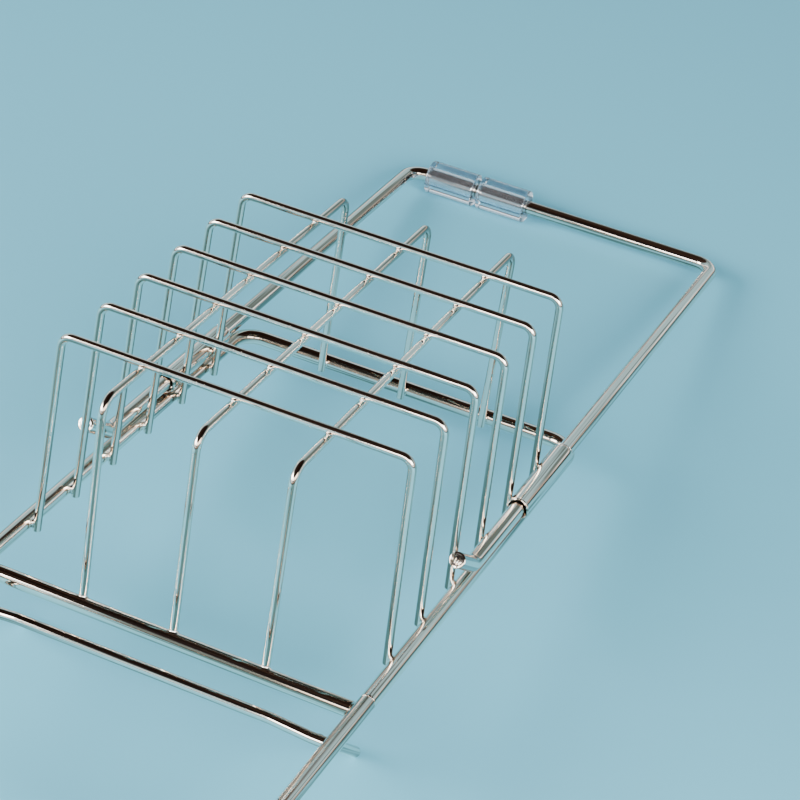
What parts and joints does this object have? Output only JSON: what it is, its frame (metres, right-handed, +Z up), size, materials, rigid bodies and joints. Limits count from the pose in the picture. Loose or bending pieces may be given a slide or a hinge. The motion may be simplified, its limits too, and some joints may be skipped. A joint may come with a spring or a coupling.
{
  "type": "extendable wire rack",
  "caption": "Bright steel wire rack: wire hoops and long wires on a rod ring, a folded-down wire foot in front and a U-shaped slide frame with clear rollers that pulls out at the back.",
  "frame": {"origin": "on the table, midway between the resting tips of the two foot legs", "axes": "+Z up from the table, +Y towards the back, where the slide frame pulls out, +X to the right seen from the front"},
  "size_m": [0.1556, 0.5018, 0.1147],
  "materials": {
    "steel": "bright plated steel rod and wire, mirror polished",
    "silicone": "clear soft silicone with a faint blue tint"
  },
  "bodies": {
    "rack": {"rear_frame": "steel", "front_frame": "steel", "hoop_1": "steel", "hoop_2": "steel", "hoop_3": "steel", "hoop_4": "steel", "hoop_5": "steel", "hoop_6": "steel", "long_wire_left": "steel", "long_wire_middle": "steel", "long_wire_right": "steel", "front_tube": "steel", "front_pin": "steel", "foot_bar": "steel", "foot_leg_left": "steel", "foot_leg_right": "steel", "sleeve_left": "steel", "sleeve_right": "steel"},
    "slide": {"slide_frame": "steel"},
    "roller_left": {"roller_left": "silicone"},
    "roller_right": {"roller_right": "silicone"}
  },
  "joints": [
    {"name": "slide_out", "type": "slide", "parent": "rack", "child": "slide", "axis": [0, 0.9946, -0.104], "range_m": [-0.164, 0.04]},
    {"name": "roller_left_turn", "type": "hinge", "parent": "slide", "child": "roller_left", "pos_m": [-0.0527, 0.35524, 0.0074], "axis": [1, 0, 0], "continuous": true},
    {"name": "roller_right_turn", "type": "hinge", "parent": "slide", "child": "roller_right", "pos_m": [-0.0277, 0.35524, 0.0074], "axis": [1, 0, 0], "continuous": true}
  ]
}
